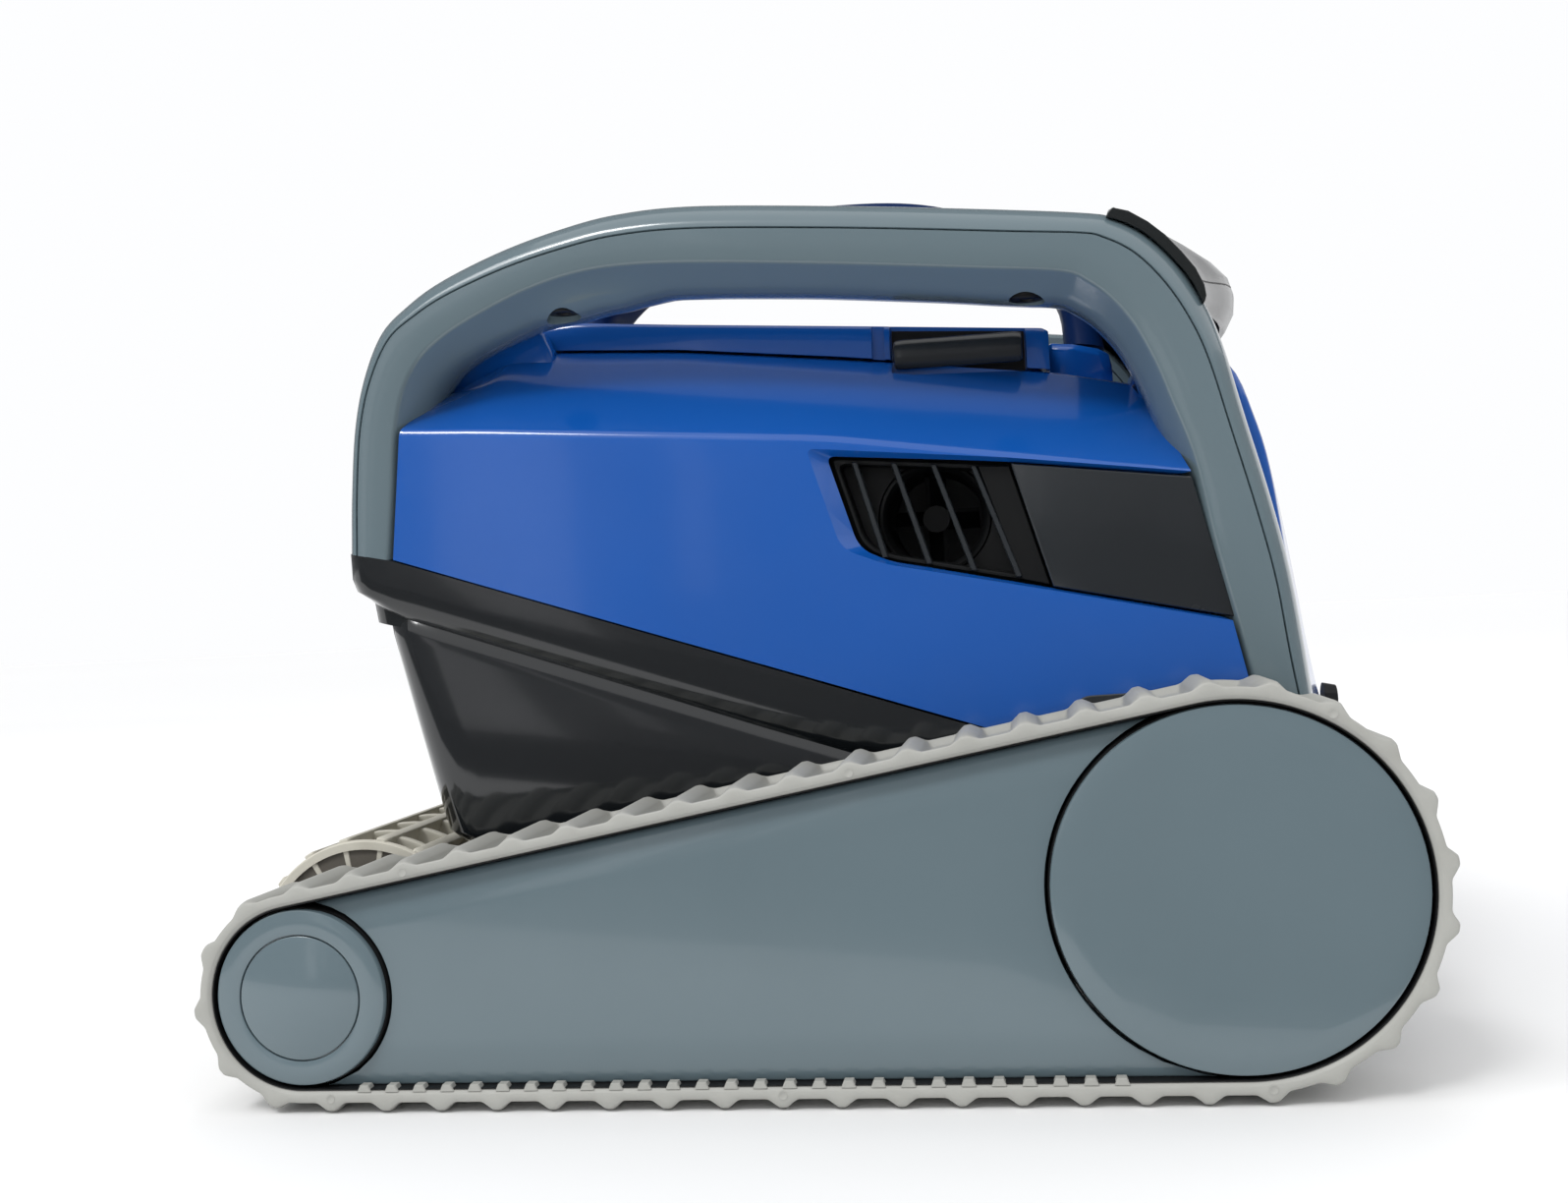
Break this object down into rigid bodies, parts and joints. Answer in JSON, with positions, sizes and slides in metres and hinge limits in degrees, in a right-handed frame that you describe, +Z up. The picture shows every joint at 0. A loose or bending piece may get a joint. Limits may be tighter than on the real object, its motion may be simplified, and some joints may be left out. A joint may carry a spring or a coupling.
{
  "type": "pool cleaner",
  "caption": "Tracked robotic pool cleaner with a blue shell, black tub, grey side arches, cream rubber tracks, a front brush roller and a hinged filter lid.",
  "frame": {"origin": "bottom centre of the bounding box, on the ground under the tracks", "axes": "+X towards the rear, where the large wheels are; +Z up; +Y towards the right side"},
  "size_m": [0.4225, 0.4, 0.343],
  "materials": {
    "blue_shell": "gloss",
    "black_shell": "gloss",
    "grey_trim": "satin gloss",
    "track_rubber": "matt",
    "brush_rubber": "matt",
    "brush_core": "matt",
    "steel": "brushed",
    "charcoal_plastic": "gloss",
    "frame_plastic": "matt",
    "motor_case": "matt",
    "filter_mesh": "fine mesh",
    "seal_rubber": "matt"
  },
  "bodies": {
    "chassis": {"lower_shell": "black_shell", "upper_shell": "blue_shell", "front_panel": "blue_shell", "rear_panel": "blue_shell", "arch_cap_left": "grey_trim", "arch_rail_left": "grey_trim", "arch_screw_front_left": "steel", "arch_screw_rear_left": "steel", "side_fairing_left": "charcoal_plastic", "outlet_duct_left": "black_shell", "track_left": "track_rubber", "track_panel_left": "grey_trim", "track_frame_left": "frame_plastic", "idler_axle_left": "steel", "axle_bush_left": "steel", "filter_panel_left": "filter_mesh", "arch_cap_right": "grey_trim", "arch_rail_right": "grey_trim", "arch_screw_front_right": "steel", "arch_screw_rear_right": "steel", "side_fairing_right": "charcoal_plastic", "outlet_duct_right": "black_shell", "track_right": "track_rubber", "track_panel_right": "grey_trim", "track_frame_right": "frame_plastic", "idler_axle_right": "steel", "axle_bush_right": "steel", "filter_panel_right": "filter_mesh", "rear_hood": "charcoal_plastic", "lid_hinge_pin": "steel", "lid_gasket": "seal_rubber", "filter_basket": "charcoal_plastic", "filter_panel_front": "filter_mesh", "filter_panel_rear": "filter_mesh", "basket_grip": "blue_shell", "motor_unit": "motor_case", "cable_gland": "frame_plastic"},
    "lid": {"lid_panel": "blue_shell", "lid_handle": "blue_shell"},
    "latch_left": {"lid_latch_left": "charcoal_plastic"},
    "latch_right": {"lid_latch_right": "charcoal_plastic"},
    "rear_wheel_left": {"drive_wheel_left": "frame_plastic", "drive_axle_left": "steel", "drive_cap_left": "grey_trim"},
    "rear_wheel_right": {"drive_wheel_right": "frame_plastic", "drive_axle_right": "steel", "drive_cap_right": "grey_trim"},
    "front_wheel_left": {"idler_wheel_left": "frame_plastic", "idler_cap_left": "grey_trim"},
    "front_wheel_right": {"idler_wheel_right": "frame_plastic", "idler_cap_right": "grey_trim"},
    "brush_roller": {"brush_core": "brush_core", "brush_sleeve": "brush_rubber", "brush_axle": "steel"},
    "pump_rotor_left": {"impeller_left": "charcoal_plastic"},
    "pump_rotor_right": {"impeller_right": "charcoal_plastic"},
    "flap_front": {"inlet_flap_front": "charcoal_plastic"},
    "flap_rear": {"inlet_flap_rear": "charcoal_plastic"}
  },
  "joints": [
    {"name": "lid_hinge", "type": "hinge", "parent": "chassis", "child": "lid", "pos_m": [-0.117, 0, 0.2673], "axis": [0, -1, 0], "range_deg": [0, 95]},
    {"name": "latch_left_hinge", "type": "hinge", "parent": "chassis", "child": "latch_left", "pos_m": [0.0605, -0.1045, 0.2525], "axis": [1, 0, 0], "range_deg": [0, 20]},
    {"name": "latch_right_hinge", "type": "hinge", "parent": "chassis", "child": "latch_right", "pos_m": [0.0605, 0.1045, 0.2525], "axis": [-1, 0, 0], "range_deg": [0, 20]},
    {"name": "rear_wheel_left_spin", "type": "hinge", "parent": "chassis", "child": "rear_wheel_left", "pos_m": [0.143, -0.177, 0.0683], "axis": [0, 1, 0], "continuous": true},
    {"name": "rear_wheel_right_spin", "type": "hinge", "parent": "chassis", "child": "rear_wheel_right", "pos_m": [0.143, 0.177, 0.0683], "axis": [0, 1, 0], "continuous": true},
    {"name": "front_wheel_left_spin", "type": "hinge", "parent": "chassis", "child": "front_wheel_left", "pos_m": [-0.1717, -0.177, 0.0396], "axis": [0, 1, 0], "continuous": true},
    {"name": "front_wheel_right_spin", "type": "hinge", "parent": "chassis", "child": "front_wheel_right", "pos_m": [-0.1717, 0.177, 0.0396], "axis": [0, 1, 0], "continuous": true},
    {"name": "brush_spin", "type": "hinge", "parent": "chassis", "child": "brush_roller", "pos_m": [-0.168, 0, 0.044], "axis": [0, 1, 0], "continuous": true},
    {"name": "pump_rotor_left_spin", "type": "hinge", "parent": "chassis", "child": "pump_rotor_left", "pos_m": [0.0505, -0.12, 0.1944], "axis": [0, 1, 0], "continuous": true},
    {"name": "pump_rotor_right_spin", "type": "hinge", "parent": "chassis", "child": "pump_rotor_right", "pos_m": [0.0505, 0.12, 0.1944], "axis": [0, 1, 0], "continuous": true},
    {"name": "flap_front_hinge", "type": "hinge", "parent": "chassis", "child": "flap_front", "pos_m": [-0.062, 0, 0.028], "axis": [0, -1, 0], "range_deg": [0, 55]},
    {"name": "flap_rear_hinge", "type": "hinge", "parent": "chassis", "child": "flap_rear", "pos_m": [0.062, 0, 0.028], "axis": [0, -1, 0], "range_deg": [0, 55]}
  ],
  "couplings": [
    {"joint": "front_wheel_left_spin", "follows": "rear_wheel_left_spin", "ratio": 1.8516},
    {"joint": "front_wheel_right_spin", "follows": "rear_wheel_right_spin", "ratio": 1.8516},
    {"joint": "brush_spin", "follows": "rear_wheel_left_spin", "ratio": 1.5},
    {"joint": "pump_rotor_right_spin", "follows": "pump_rotor_left_spin", "ratio": 1}
  ]
}
